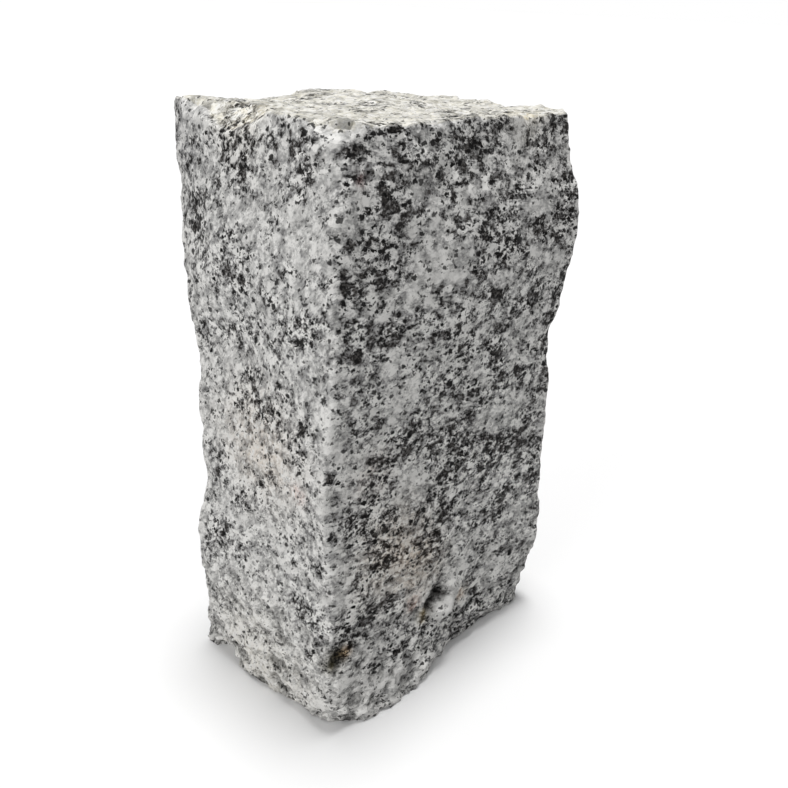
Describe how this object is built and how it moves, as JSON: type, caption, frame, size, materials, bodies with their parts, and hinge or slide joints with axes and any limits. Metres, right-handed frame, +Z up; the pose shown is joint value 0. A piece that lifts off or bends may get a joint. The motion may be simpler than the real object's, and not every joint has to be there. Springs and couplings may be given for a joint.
{
  "type": "granite palisade",
  "caption": "Upright block of split granite with an oblong section, hewn faces, wavy arrises and a rough crown, for edging, steps and low walls.",
  "frame": {"origin": "middle of the flat bed that the block stands on, at the bottom centre of its box", "axes": "+Z up along the block's length, X along its broad faces, Y along its narrow faces; the arris that the picture shows in front is at -X -Y"},
  "size_m": [0.1447, 0.0982, 0.2536],
  "materials": {
    "granite": "split, matt, speckled light grey"
  },
  "bodies": {
    "root": {"palisade": "granite"}
  },
  "joints": []
}
